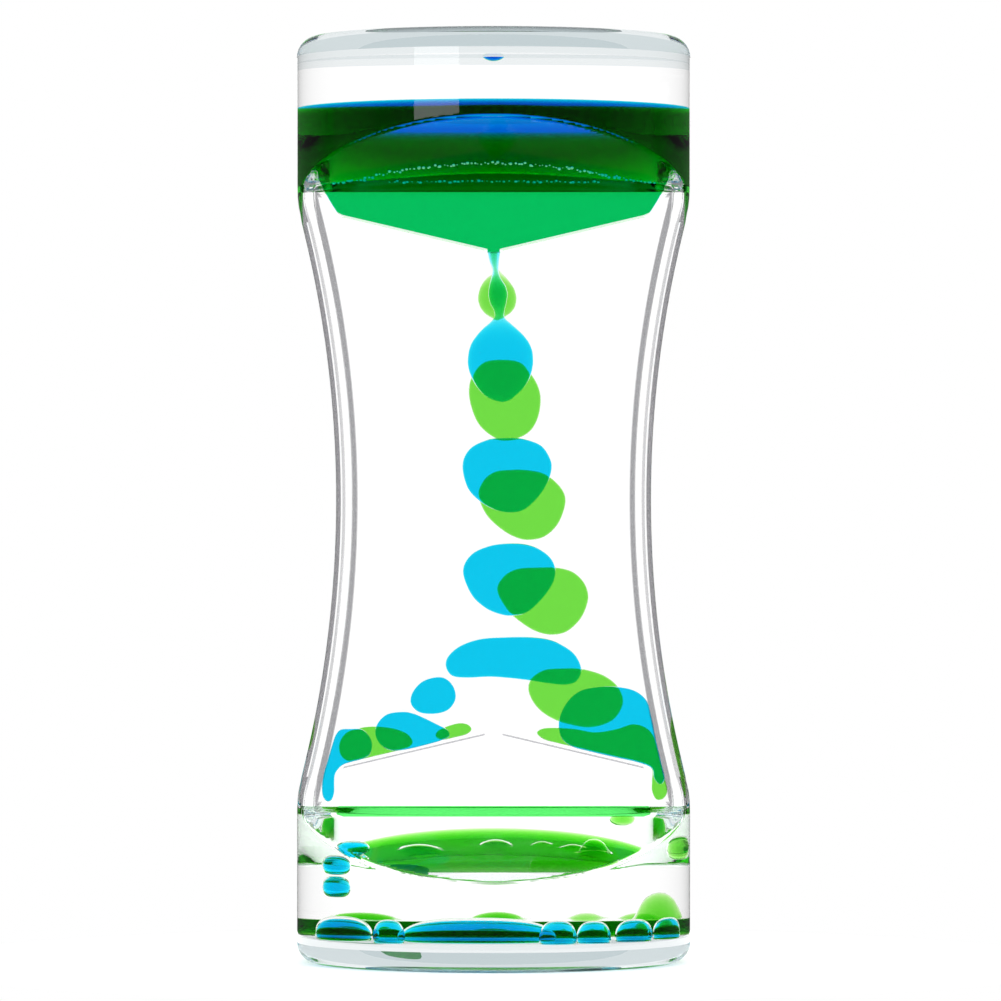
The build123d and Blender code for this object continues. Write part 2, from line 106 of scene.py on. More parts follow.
# Drops: the roundness of their edges, and the shapes of the ones in the lower end
FALLING_EDGE = 0.5
RESTING_EDGE = 0.2
LID_INSET = 1.1
BUN_POWER = 0.7
BUN_TUCK = 0.02
BUN_CROWN = 0.03
SINKING_FOOT = 0.4
SINKING_BELLY = 0.45
SPILL_REACH = 0.97 * BOWL
SPILL_MIDDLE = 9.0
SPILL_CORNER = 2.5
SPILL_SOFT = 1.2
SPILL_HEIGHT = 2.4
HUMP_POWER = 0.4

# Fine bubbles: first and last x, lift over the shoulder's foot, sag at the ends, and count
FROTH_ROWS = ((-23.2, 23.2, 3.7, 3.0, 96), (-15.0, 15.0, 1.25, 0.2, 46))
FROTH_RADIUS = (0.08, 0.28)
FROTH_SEAT = 2.6
FROTH_TILT = 0.48 * pi
FROTH_SEED = 5

# Fineness of the meshes: rows as (start, end, step), and numbers of points
WAIST_ROWS = ((0, 42, 2.1), (42, 46.8, 0.3), (46.8, 55.6, 0.25))
OUTER_ROWS = (*WAIST_ROWS, (55.6, 64, 1.4))
INNER_ROWS = (*WAIST_ROWS, (55.6, 62.45, 1.37))
DIVIDER_ROWS = ((FLOOR, 25, 1.0), (25, 109, 2.1), (109, CEILING, 1.0))
POOL_ROWS = ((UPPER_NOZZLE, 103.2, 0.1), (103.2, 108, 0.4), (108, 111, 0.4), (111, POOL_TOP, 0.25))
CAST_REACH = 2.5
CAST_HALVINGS = 45
RIM_STEPS = 9
DISC_STEPS = 240
HOLE_STEPS = 64
TIP_STEPS = 8
BEND_STEPS = 7
DROP_STEPS = 96
CROWN_STEPS = 16
SPILL_INNER = (0.02, 0.9, 40)
SPILL_OUTER = (0.1, pi / 2, 10)
SPILL_BORDER = 0.1
FROTH_STEPS = 10
SHARP_ANGLE = 30

# Light that bends at plastic and air. The shoulders and rims bend it less, and so do the drums
# behind the seam, more and more in steps of so many degrees
PLASTIC_IN_AIR = 1.49
UPPER_SHOULDER_BEND = 1.085
LOWER_SHOULDER_BEND = 1.25
RIM_BEND = 1.08
DRUM_BENDS = (1.43, 1.37, 1.32, 1.26, 1.2)
DRUM_STEP = 7.0

# Light that bends inside the oil, which is almost like the plastic
PLASTIC_IN_OIL = 1.004
POOL_IN_OIL = 0.996
DROP_IN_OIL = 0.975
BEAD_IN_OIL = 0.94

# Tints of the clear faces: grey ones are painted shade, and a green one is a painted reflection.
# Colour, roughness and grain of the rest, where the froth's colour is a painted glint
# Painted shade: grey tints that draw dark lines along the waist's outer and inner corners
EDGE_PAINTED_SHADE = (0.32, 0.315, 0.33)
INNER_EDGE_PAINTED_SHADE = (0.62, 0.62, 0.63)
# Painted shade: a grey tint that draws a dark line on the lower funnels' upper faces
FUNNEL_PAINTED_SHADE = (0.42, 0.42, 0.45)
# Painted shade: a grey tint on the end caps' outer faces
CAP_PAINTED_SHADE = (0.85, 0.88, 0.89)
# Painted shade: a grey tint on the rims and seat walls that draws their outline
RIM_PAINTED_SHADE = (0.78, 0.82, 0.83)
# Painted reflection: a green tint on the front lower ledge for the lime water mirrored in it
LEDGE_PAINTED_REFLECTION = (0.10, 0.70, 0.14)
# Painted glint: the pale colour of the froth beads stands for the sparkle of air bubbles
FROTH_PAINTED_GLINT = (0.22, 0.85, 0.36)
RUBBER_COLOR = (0.03, 0.24, 0.30)
GROUND_COLOR = (0.95, 0.95, 0.95)
FROTH_ROUGHNESS = 0.15
RUBBER_ROUGHNESS = 0.5
GROUND_ROUGHNESS = 1.0
RUBBER_GRAIN = 0.4
GRAIN_DETAIL = 3.0
GRAIN_STRENGTH = 0.25
GRAIN_DEPTH = 0.25
GRAIN_TONES = (0.8, 1.2)

# Which faces of the casing have a material of their own, by the way they face
OUTER_CORNER_FACING = (0.60, 0.98)
INNER_CORNER_FACING = (0.2, 0.99)
SHOULDER_FACING = 0.5
LEDGE_FACING = 0.15
SHOULDER_MARGIN = 2
LEDGE_MARGIN = 0.5

# Share of each colour that passes a sample of the waters
SAMPLE_MM = 3.6
STAIN_HEADROOM = 1.04
BLUE_THROUGH = (0.003, 0.56, 0.82)
LIME_THROUGH = (0.165, 0.70, 0.06)
BLUE_POOL_THROUGH = (0.003, 0.66, 0.905)
LIME_POOL_THROUGH = (0.16, 0.82, 0.15)
LAST_DROP_THROUGH = (1e-6, 0.02, 0.42)

# The room: strengths of its light, and the directions from which it comes as (start, end)
BACKDROP_LIGHT = 1.08
DIM_LIGHT = 0.3
WINDOW_LIGHT = 2.5
SEEN_LIGHT = 1.0
DIFFUSE_LIGHT = 1.25
BACKDROP = (0.3, 0.6)
SIDES = (0.93, 0.97)
LEVEL = (0.6, 0.45)
CEILING_LIGHT = (0.75, 0.85)
WINDOW_BEHIND = -0.6
WINDOW_X = (-0.73, -0.34)
WINDOW_Z = (0.026, 0.0604)

# Mirrored rays lose this share, but less where they glance off the flat or the raised rims
MIRROR_LOSS = 0.95
FLAT_SPARED = 0.95
FLAT_Z = (0.0, 0.02)
FLAT_X = (0.2, 0.1)
RAISED_SPARED = 0.6
RAISED_Z = (0.08, 0.16)
GLANCING_Y = (0.0, 0.3)

# Stage, in metres and degrees
GROUND_RADIUS = 0.085
GROUND_STEPS = 64
SUN_STRENGTH = 1.2
SUN_SPREAD = 60
SUN_TILT = (12, 8, 0)
SENSOR = 36.0
LENS = 270.6
CLIP = (0.05, 50.0)
EYE = (0.001, -1.09, 0.06686)
LIGHT_BOUNCES = 48
MIRROR_BOUNCES = 16

# Slots of the casing's materials
OUTSIDE = 0
INSIDE = 1
# Offset from a slot to its grey-tinted copy, which is painted shade
TO_SHADED_EDGE = 2
UPPER_SHOULDER = 4
LOWER_SHOULDER = 5
# The rim slot is tinted grey: painted shade
RIM = 6
# The ledge slot is tinted green: a painted reflection
LEDGE = 7
DRUM = 8


def round_max(a, b, r):
    """Overlap of two fields, with its edge rounded by r."""
    corner = np.hypot(np.maximum(a + r, 0), np.maximum(b + r, 0))
    return np.minimum(np.maximum(a, b), -r) + corner


def round_min(a, b, r):
    """Union of two fields, with its inner corner rounded by r."""
    return -round_max(-a, -b, r)


def half_width(z, inset):
    """Half of the casing's width at height z, drawn in by inset."""
    up = np.abs(z - MID)
    flank = WAIST_HALF + FLANK_RADIUS - np.sqrt(FLANK_RADIUS**2 - up**2)
    drum = RADIUS + FLANK_RUNOUT
    near = np.maximum(FLANK_BLEND - np.abs(flank - drum), 0)
    return np.minimum(flank, drum) - near**2 / (4 * FLANK_BLEND) - inset


def half_depth(z, inset):
    """Half of the casing's depth at height z on its axis, drawn in by inset."""
    up = np.abs(z - MID)
    slope = PANEL_HALF + SHOULDER_PITCH * (up - SHOULDER_START) - inset / SHOULDER_TILT
    return np.minimum(np.maximum(PANEL_HALF - inset, slope), RADIUS - inset)


def casing_field(x, y, z, inset=0.0, corner=PANEL_CORNER, edge=DRUM_EDGE):
    """Negative inside the casing's form, drawn in by inset."""
    up = np.abs(z - MID)
    panel = np.abs(y) - PANEL_HALF + inset
    slope = np.abs(y) - PANEL_HALF - SHOULDER_PITCH * (up - SHOULDER_START)
    sides = round_min(panel, slope * SHOULDER_TILT + inset, SHOULDER_ROUND + inset)
    flanks = np.abs(x) - half_width(z, inset)
    drum = np.hypot(x, y) - RADIUS + inset
    return round_max(round_max(sides, flanks, corner), drum, edge)


def cavity_field(x, y, z):
    """Negative inside the room for the liquids."""
    return casing_field(x, y, z, WALL, INNER_CORNER, INNER_CORNER)


def slopes(field, points):
    """Unit vectors along which the field grows fastest at these points."""
    step = 0.02
    parts = []
    for axis in range(3):
        shift = np.zeros(3)
        shift[axis] = step
        ahead = field(*np.moveaxis(points + shift, -1, 0))
        behind = field(*np.moveaxis(points - shift, -1, 0))
        parts.append(ahead - behind)
    normal = np.stack(parts, -1)
    return normal / np.linalg.norm(normal, axis=-1, keepdims=True)


def cast(field, levels, turns, wide, deep, centre_y=0.0):
    """Rows of points where rays from each level's middle leave the field, and their normals."""
    z = np.broadcast_to(np.asarray(levels, float)[:, None], (len(levels), len(turns)))
    wide = np.broadcast_to(np.asarray(wide, float), (len(levels),))[:, None]
    deep = np.broadcast_to(np.asarray(deep, float), (len(levels),))[:, None]
    middle = np.broadcast_to(np.asarray(centre_y, float), (len(levels),))[:, None]
    along_x = wide * np.cos(turns)
    along_y = deep * np.sin(turns)
    low = np.zeros(z.shape)
    high = np.full(z.shape, CAST_REACH)
    for _ in range(CAST_HALVINGS):
        half = (low + high) / 2
        inside = field(half * along_x, middle + half * along_y, z) < 0
        low = np.where(inside, half, low)
        high = np.where(inside, high, half)
    points = np.stack([low * along_x, middle + low * along_y, z], -1)
    return points, slopes(field, points)


class Skin:
    """Points, normals and faces that are gathered for one mesh."""

    def __init__(self):
        self.points = []
        self.normals = []
        self.faces = []
        self.slots = []

    def grid(self, points, normals, slot=0, closed=False, flip=False):
        """Adds rows of points as a sheet of four-sided faces."""
        rows, columns = points.shape[:2]
        start = len(self.points)
        self.points.extend(points.reshape(-1, 3).tolist())
        self.normals.extend(normals.reshape(-1, 3).tolist())
        for i in range(rows - 1):
            for j in range(columns if closed else columns - 1):
                k = (j + 1) % columns
                face = [
                    start + i * columns + j,
                    start + i * columns + k,
                    start + (i + 1) * columns + k,
                    start + (i + 1) * columns + j,
                ]
                self.faces.append(face[::-1] if flip else face)
                self.slots.append(slot if np.isscalar(slot) else int(slot[i, j]))

    def polygon(self, points, normal, slot=0, flip=False):
        """Adds one flat face."""
        start = len(self.points)
        self.points.extend(np.asarray(points).tolist())
        self.normals.extend([list(normal)] * len(points))
        face = list(range(start, start + len(points)))
        self.faces.append(face[::-1] if flip else face)
        self.slots.append(slot)

    def tube(self, points, flip=False):
        """Adds rings of points as a closed body with flat ends."""
        first = len(self.points)
        rows, columns = points.shape[:2]
        self.grid(points, np.zeros_like(points), 0, True, flip)
        last = first + (rows - 1) * columns
        start = list(range(first, first + columns))
        end = list(range(last, last + columns))
        self.faces.append(start if flip else start[::-1])
        self.faces.append(end[::-1] if flip else end)
        self.slots.extend([0, 0])

    def make(self, name, materials, body, nodes, slot_name, shade=True):
        """Makes the piece, which rides on a body and stands for some nodes."""
        mesh = bpy.data.meshes.new(name)
        mesh.from_pydata((np.array(self.points) * MM).tolist(), [], self.faces)
        for material in materials:
            mesh.materials.append(material)
        mesh.polygons.foreach_set("material_index", self.slots)
        mesh.polygons.foreach_set("use_smooth", [True] * len(self.faces))
        if shade:
            mesh.normals_split_custom_set_from_vertices(self.normals)
        piece = bpy.data.objects.new(name, mesh)
        bpy.context.scene.collection.objects.link(piece)
        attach(piece, body)
        if nodes:
            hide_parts(*nodes)
        return piece


def add_node(tree, kind, **sockets):
    """A shader node with some of its inputs set."""
    node = tree.nodes.new(kind)
    for name, value in sockets.items():
        node.inputs[name.replace("_", " ")].default_value = value
    return node


def glass(name, ior, through=None, tint=(1.0, 1.0, 1.0)):
    """Clear material that casts no shadow; through is what a sample of it passes of each colour."""
    material = bpy.data.materials.new(name)
    material.use_nodes = True
    tree = material.node_tree
    tree.nodes.clear()
    out = add_node(tree, "ShaderNodeOutputMaterial")
    bend = add_node(tree, "ShaderNodeBsdfGlass", Color=(*tint, 1.0), Roughness=0.0, IOR=ior)
    clear = add_node(tree, "ShaderNodeBsdfTransparent")
    path = add_node(tree, "ShaderNodeLightPath")
    mix = add_node(tree, "ShaderNodeMixShader")
    tree.links.new(path.outputs["Is Shadow Ray"], mix.inputs[0])
    tree.links.new(bend.outputs[0], mix.inputs[1])
    tree.links.new(clear.outputs[0], mix.inputs[2])
    tree.links.new(mix.outputs[0], out.inputs["Surface"])
    if through:
        loss = -np.log(np.array(through)) / (SAMPLE_MM * MM)
        density = loss.max() * STAIN_HEADROOM
        color = [*(1 - loss / density).tolist(), 1.0]
        stain = add_node(tree, "ShaderNodeVolumeAbsorption", Color=color, Density=density)
        tree.links.new(stain.outputs[0], out.inputs["Volume"])
    return material


def plain(name, color, roughness, grain=None):
    """Ordinary material; grain is the size of fine bumps in millimetres."""
    material = bpy.data.materials.new(name)
    material.use_nodes = True
    tree = material.node_tree
    shader = tree.nodes["Principled BSDF"]
    shader.inputs["Base Color"].default_value = (*color, 1.0)
    shader.inputs["Roughness"].default_value = roughness
    if grain:
        place = add_node(tree, "ShaderNodeTexCoord")
        noise = add_node(tree, "ShaderNodeTexNoise", Scale=1 / (grain * MM), Detail=GRAIN_DETAIL)
        depth = GRAIN_DEPTH * grain * MM
        bump = add_node(tree, "ShaderNodeBump", Strength=GRAIN_STRENGTH, Distance=depth)
        tone = add_node(tree, "ShaderNodeValToRGB")
        for stop, share in zip(tone.color_ramp.elements, GRAIN_TONES):
            stop.color = (*[share * c for c in color], 1.0)
        tree.links.new(place.outputs["Object"], noise.inputs["Vector"])
        tree.links.new(noise.outputs[0], bump.inputs["Height"])
        tree.links.new(noise.outputs[0], tone.inputs[0])
        tree.links.new(tone.outputs[0], shader.inputs["Base Color"])
        tree.links.new(bump.outputs[0], shader.inputs["Normal"])
    return material


clear_outside = glass("clear_plastic_outside", PLASTIC_IN_AIR)
clear_inside = glass("clear_plastic_in_oil", PLASTIC_IN_OIL)
upper_shoulder = glass("clear_upper_shoulder", UPPER_SHOULDER_BEND)
lower_shoulder = glass("clear_lower_shoulder", LOWER_SHOULDER_BEND)
# Rim material with a grey tint: painted shade
rim_painted_shade = glass("rim_painted_shade", RIM_BEND, tint=RIM_PAINTED_SHADE)
# Ledge material with a green tint: a painted reflection of the lime water
ledge_reflection = glass("ledge_painted_reflection", LOWER_SHOULDER_BEND, tint=LEDGE_PAINTED_REFLECTION)
drum_walls = [glass(f"clear_drum_{step}", bend) for step, bend in enumerate(DRUM_BENDS)]
# Grey-tinted copies of the clear plastic for the waist's corners: painted shade
shaded_edge_outside = glass("clear_plastic_edge_painted_shade", PLASTIC_IN_AIR, tint=EDGE_PAINTED_SHADE)
shaded_edge_inside = glass("clear_plastic_inner_edge_painted_shade", PLASTIC_IN_OIL, tint=INNER_EDGE_PAINTED_SHADE)
# Cap material with a grey tint: painted shade
cap_painted_shade = glass("cap_painted_shade", PLASTIC_IN_AIR, tint=CAP_PAINTED_SHADE)
# Funnel face material with a grey tint: painted shade
funnel_painted_shade = glass("funnel_painted_shade", PLASTIC_IN_OIL, tint=FUNNEL_PAINTED_SHADE)
blue_pool = glass("blue_pool", POOL_IN_OIL, BLUE_POOL_THROUGH)
lime_pool = glass("lime_pool", POOL_IN_OIL, LIME_POOL_THROUGH)
blue_water = glass("blue_water", DROP_IN_OIL, BLUE_THROUGH)
lime_water = glass("lime_water", DROP_IN_OIL, LIME_THROUGH)
blue_bead = glass("blue_bead", BEAD_IN_OIL, BLUE_THROUGH)
lime_bead = glass("lime_bead", BEAD_IN_OIL, LIME_THROUGH)
last_blue = glass("blue_last_drop", DROP_IN_OIL, LAST_DROP_THROUGH)
# Opaque pale beads: their colour is a painted glint
froth_painted_glint = plain("froth", FROTH_PAINTED_GLINT, FROTH_ROUGHNESS)
plug_rubber = plain("plug_rubber", RUBBER_COLOR, RUBBER_ROUGHNESS, RUBBER_GRAIN)


def spread(*stops):
    """Values from stops of (start, end, step), without doubles."""
    values = [np.arange(start, end, step) for start, end, step in stops]
    return np.concatenate([*values, [stops[-1][1]]])


def both_ends(heights):
    """Levels above and below the middle for these distances from it."""
    return np.concatenate([MID - heights[::-1], MID + heights[1:]])


quarter = np.radians(spread((0, 30, 1.5), (30, 60, 1.0), (60, 90, 1.5)))
TURNS = np.concatenate([quarter, pi - quarter[-2::-1]])
TURNS = np.concatenate([TURNS, pi + TURNS[1:]])
HALF_COUNT = (len(TURNS) + 1) // 2


def half_of(side):
    """The columns that belong to the front or the rear half."""
    return slice(0, HALF_COUNT) if side == BACK else slice(HALF_COUNT - 1, len(TURNS))


def rim_rows(radius, round_off, end, upward):
    """Rows of a rounded rim that ends at height end, and their normals."""
    bends = np.linspace(0, pi / 2, RIM_STEPS)
    if not upward:
        bends = bends[::-1]
    flat = radius - round_off
    way = 1 if upward else -1
    r = flat + round_off * np.cos(bends)
    z = end - way * round_off * (1 - np.sin(bends))
    points = np.empty((len(bends), len(TURNS), 3))
    normals = np.empty_like(points)
    points[..., 0] = r[:, None] * np.cos(TURNS)
    points[..., 1] = r[:, None] * np.sin(TURNS)
    points[..., 2] = z[:, None]
    normals[..., 0] = np.cos(bends)[:, None] * np.cos(TURNS)
    normals[..., 1] = np.cos(bends)[:, None] * np.sin(TURNS)
    normals[..., 2] = way * np.sin(bends)[:, None]
    return points, normals


def rings(stations, normal_r, normal_z):
    """Rows on circles given as (radius, height), all with one slope."""
    points = np.empty((len(stations), len(TURNS), 3))
    normals = np.empty_like(points)
    for row, (r, z) in enumerate(stations):
        points[row, :, 0] = r * np.cos(TURNS)
        points[row, :, 1] = r * np.sin(TURNS)
        points[row, :, 2] = z
    normals[..., 0] = normal_r * np.cos(TURNS)
    normals[..., 1] = normal_r * np.sin(TURNS)
    normals[..., 2] = normal_z
    return points, normals


def skin_slots(points, normals, slot, facing, depth):
    """Slots by face: corners at the waist with painted shade; outside also the shoulders, the ledge
    with a painted reflection, and rear drums.
    """

    def middles(values):
        means = (values[1:, 1:] + values[:-1, 1:] + values[1:, :-1] + values[:-1, :-1]) / 4
        return np.moveaxis(means, -1, 0)

    x, y, z = middles(points)
    across, along, rise = middles(normals)
    up = z - MID
    sideways = np.abs(across) / np.maximum(np.hypot(across, along), 1e-6)
    # Corner faces that take the grey tint: painted shade
    corner = (np.abs(up) < SHOULDER_START) & (np.abs(y) > depth)
    corner &= (sideways > facing[0]) & (sideways < facing[1])
    slots = np.where(corner, slot + TO_SHADED_EDGE, slot)
    if slot == OUTSIDE:
        turn = np.degrees(np.arctan2(y, np.abs(x)))
        step = np.clip(turn // DRUM_STEP, 0, len(DRUM_BENDS) - 1).astype(int)
        slots = np.where((np.abs(up) > SHOULDER_START) & (turn > 0), DRUM + step, slots)
        slope = (np.abs(rise) > SHOULDER_FACING) & (np.abs(up) > SHOULDER_START - SHOULDER_MARGIN)
        slots = np.where(slope, np.where(up > 0, UPPER_SHOULDER, LOWER_SHOULDER), slots)
        # The front lower ledge takes the green tint: a painted reflection of the lime water
        ledge = (rise > LEDGE_FACING) & (y < 0) & (np.abs(x) < FUNNEL_HALF)
        ledge &= (up > -SHOULDER_START - LEDGE_MARGIN) & (up < SHOULDER_MARGIN - SHOULDER_START)
        slots = np.where(ledge, LEDGE, slots)
    return slots


def casing_sheets():
    """The casing's skin as rows: points, normals, material slot and whether it is turned."""
    levels = both_ends(spread(*OUTER_ROWS))
    wide = np.minimum(half_width(levels, 0), RADIUS)
    deep = half_depth(levels, 0)
    points, normals = cast(casing_field, levels, TURNS, wide, deep)
    slots = skin_slots(points, normals, OUTSIDE, OUTER_CORNER_FACING, PANEL_HALF - PANEL_CORNER)
    sheets = [(points, normals, slots, False)]
    flat = RADIUS - RIM_ROUND
    for end, way in ((HEIGHT, 1), (0.0, -1)):
        upward = way > 0
        inner = end - way * CAP_RECESS
        sheets.append((*rim_rows(RADIUS, RIM_ROUND, end, upward), RIM, False))
        sheets.append((*rings(((flat, end), (SEAT_RADIUS, end)), 0, way), OUTSIDE, not upward))
        sheets.append((*rings(((SEAT_RADIUS, end), (SEAT_RADIUS, inner)), -1, 0), RIM, not upward))
    levels = both_ends(spread(*INNER_ROWS))
    wide = np.minimum(half_width(levels, WALL), BOWL)
    deep = half_depth(levels, WALL)
    points, normals = cast(cavity_field, levels, TURNS, wide, deep)
    depth = PANEL_HALF - WALL - INNER_CORNER
    slots = skin_slots(points, normals, INSIDE, INNER_CORNER_FACING, depth)
    sheets.append((points, -normals, slots, True))
    for end, way in ((CEILING, 1), (FLOOR, -1)):
        points, normals = rim_rows(BOWL, INNER_RIM, end, way > 0)
        sheets.append((points, -normals, INSIDE, True))
        stations = ((BOWL - INNER_RIM, end), (OPENING_RADIUS, end))
        sheets.append((*rings(stations, 0, -way), INSIDE, way > 0))
    return sheets


CASING_MATERIALS = [
    clear_outside, clear_inside, shaded_edge_outside, shaded_edge_inside,
    upper_shoulder, lower_shoulder, rim_painted_shade, ledge_reflection, *drum_walls,
]
sheets = casing_sheets()
for side, node in ((FRONT, "front_shell"), (BACK, "rear_shell")):
    skin = Skin()
    half = half_of(side)
    for points, normals, slot, flip in sheets:
        slots = slot if np.isscalar(slot) else slot[:, half.start : half.stop - 1]
        skin.grid(points[:, half], normals[:, half], slots, False, flip)
    skin.make(f"{node}_look", CASING_MATERIALS, "casing", [node], "clear_plastic")


def disc(skin, radius, z, up, slot, holes=(), middle_x=0.0, middle_y=0.0):
    """A flat round face with round holes."""
    loops = [(middle_x, middle_y, radius, DISC_STEPS)]
    loops += [(x, y, r, HOLE_STEPS) for x, y, r in holes]
    points = []
    loop_edges = []
    for x, y, r, count in loops:
        start = len(points)
        for step in range(count):
            turn = 2 * pi * step / count
            points.append(Vector((x + r * cos(turn), y + r * sin(turn))))
            loop_edges.append((start + step, start + (step + 1) % count))
    flat, _, faces, _, _, _ = delaunay_2d_cdt(points, loop_edges, [], 1, 1e-6)
    start = len(skin.points)
    skin.points.extend([[p.x, p.y, z] for p in flat])
    skin.normals.extend([[0.0, 0.0, 1.0 if up else -1.0]] * len(flat))
    for face in faces:
        middle = sum((flat[i] for i in face), Vector((0.0, 0.0))) / len(face)
        if any((middle - Vector((x, y))).length < r for x, y, r in holes):
            continue
        area = sum(
            flat[a].x * flat[b].y - flat[b].x * flat[a].y
            for a, b in zip(face, face[1:] + face[:1])
        )
        turned = (area > 0) != up
        ordered = [start + i for i in face]
        skin.faces.append(ordered[::-1] if turned else ordered)
        skin.slots.append(slot)


# The caps' outer faces take the grey cap tint: painted shade
CAP_MATERIALS = [cap_painted_shade, clear_inside]
upper_cap = Skin()
disc(upper_cap, SEAT_RADIUS, HEIGHT - CAP_RECESS, True, OUTSIDE)
disc(upper_cap, OPENING_RADIUS, CEILING, False, INSIDE)
upper_cap.make("upper_end_cap_look", CAP_MATERIALS, "casing", ["upper_end_cap"], "clear_plastic")
lower_cap = Skin()
heads = [(x, y, PLUG_HEAD_RADIUS) for x, y in PLUG_PLACES]
shanks = [(x, y, PLUG_SHANK_RADIUS) for x, y in PLUG_PLACES]
disc(lower_cap, SEAT_RADIUS, CAP_RECESS, False, OUTSIDE, heads)
disc(lower_cap, OPENING_RADIUS, FLOOR, True, INSIDE, shanks)
lower_cap.make("lower_end_cap_look", CAP_MATERIALS, "casing", ["lower_end_cap"], "clear_plastic")
for node, (x, y) in zip(("front_fill_plug", "rear_fill_plug"), PLUG_PLACES):
    plug = Skin()
    disc(plug, PLUG_HEAD_RADIUS, CAP_RECESS, False, OUTSIDE, (), x, y)
    disc(plug, PLUG_SHANK_RADIUS, FLOOR, True, INSIDE, (), x, y)
    plug.make(f"{node}_look", [plug_rubber, clear_inside], "casing", [node], "plug_rubber")


def divider():
    """Both faces of the plate between the two chambers."""
    skin = Skin()
    levels = spread(*DIVIDER_ROWS)
    reach = np.minimum(half_width(levels, WALL), BOWL)
    shares = np.linspace(-1, 1, 3)
    for side in (FRONT, BACK):
        points = np.empty((len(levels), len(shares), 3))
        points[..., 0] = reach[:, None] * shares
        points[..., 1] = side * CHANNEL_NEAR
        points[..., 2] = levels[:, None]
        normals = np.zeros_like(points)
        normals[..., 1] = side
        skin.grid(points, normals, 0, False, side == BACK)
    skin.make("divider_plate_look", [clear_inside], "casing", ["divider_plate"], "clear_plastic")


divider()


def funnel_profile():
    """One wing of a funnel, from the bore to its rounded tip and back, over the nozzle's height."""
    tip = FUNNEL_HALF
    slope = radians(FUNNEL_SLOPE)
    r = FUNNEL_TIP_ROUND
    low = -PLATE_RISE
    line = [(BORE, BORE * SLOPE_RISE + low)]
    lower = (tip - r, (tip - r) * SLOPE_RISE + low + r / cos(slope))
    upper = (tip - r, (tip - r) * SLOPE_RISE - r / cos(slope))
    for turn in np.linspace(slope - pi / 2, 0, TIP_STEPS):
        line.append((lower[0] + r * cos(turn), lower[1] + r * sin(turn)))
    for turn in np.linspace(0, slope + pi / 2, TIP_STEPS):
        line.append((upper[0] + r * cos(turn), upper[1] + r * sin(turn)))
    line.append((BORE, BORE * SLOPE_RISE))
    return np.array(line)


def funnel(side, lower):
    """The two sloping wings of one channel's plate; a lower one has a grey tint, painted shade, on its
    upper face.
    """
    skin = Skin()
    profile = funnel_profile()
    for hand in (1, -1):
        loop = np.vstack([profile, profile[:1]])
        start = len(skin.points)
        for depth in (CHANNEL_NEAR, CHANNEL_FAR):
            for x, rise in loop:
                z = UPPER_NOZZLE + rise
                skin.points.append([hand * x, side * depth, HEIGHT - z if lower else z])
        count = len(loop)
        flip = (hand * side * (-1 if lower else 1)) < 0
        for k in range(count - 1):
            face = [start + k, start + count + k, start + count + k + 1, start + k + 1]
            skin.faces.append(face if flip else face[::-1])
            # The lower funnel's upper face takes the grey tint: painted shade
            skin.slots.append(1 if lower and k == 0 else 0)
    name = f"{'front' if side == FRONT else 'rear'}_{'lower' if lower else 'upper'}_funnel"
    piece = skin.make(f"{name}_look", [clear_inside, funnel_painted_shade], "casing", [name],
                      "clear_plastic", False)
    piece.data.set_sharp_from_angle(angle=radians(SHARP_ANGLE))


for side in (FRONT, BACK):
    for lower in (False, True):
        funnel(side, lower)


def brim(z):
    """Half width of an upper pool at height z, over the funnel and along its curved end."""
    tip = UPPER_NOZZLE + FUNNEL_HALF * SLOPE_RISE + 2 * POOL_FILM
    over = np.maximum((z - UPPER_NOZZLE - 2 * POOL_FILM) / SLOPE_RISE, POOL_NECK)
    up = np.clip((z - tip) / MENISCUS_RISE, 0, 1)
    curved = FUNNEL_HALF + MENISCUS_WIDTH * (1 - (1 - up) ** MENISCUS_POWER)
    free = np.maximum(z - tip - MENISCUS_RISE, 0) * MENISCUS_RUNOUT
    return np.where(z < tip, np.minimum(over, FUNNEL_HALF), curved + free)


def pool(side, name, material):
    """The water that still stands in the upper end."""

    def field(x, u, z):
        room = casing_field(x, u, z, WALL + POOL_FILM, INNER_CORNER, INNER_CORNER)
        kept = round_max(room, CHANNEL_NEAR + POOL_FILM - u, POOL_EDGE)
        return round_max(kept, np.abs(x) - brim(z), MENISCUS_EDGE)

    levels = spread(*POOL_ROWS)
    inset = WALL + POOL_FILM
    far = half_depth(levels, inset)
    wide = np.minimum(np.minimum(brim(levels), half_width(levels, inset)), BOWL)
    start = CHANNEL_NEAR + POOL_FILM
    turns = TURNS[:-1]
    points, normals = cast(field, levels, turns, wide, (far - start) / 2, (far + start) / 2)
    points[..., 1] *= side
    normals[..., 1] *= side
    skin = Skin()
    flip = side == FRONT
    skin.grid(points, normals, 0, True, flip)
    skin.polygon(points[-1], (0, 0, 1), 0, flip)
    skin.polygon(points[0], (0, 0, -1), 0, not flip)
    skin.make(f"{name}_look", [material], "casing", [name], name.split("_")[0] + "_water")


pool(FRONT, "blue_upper_pool", blue_pool)
pool(BACK, "green_upper_pool", lime_pool)


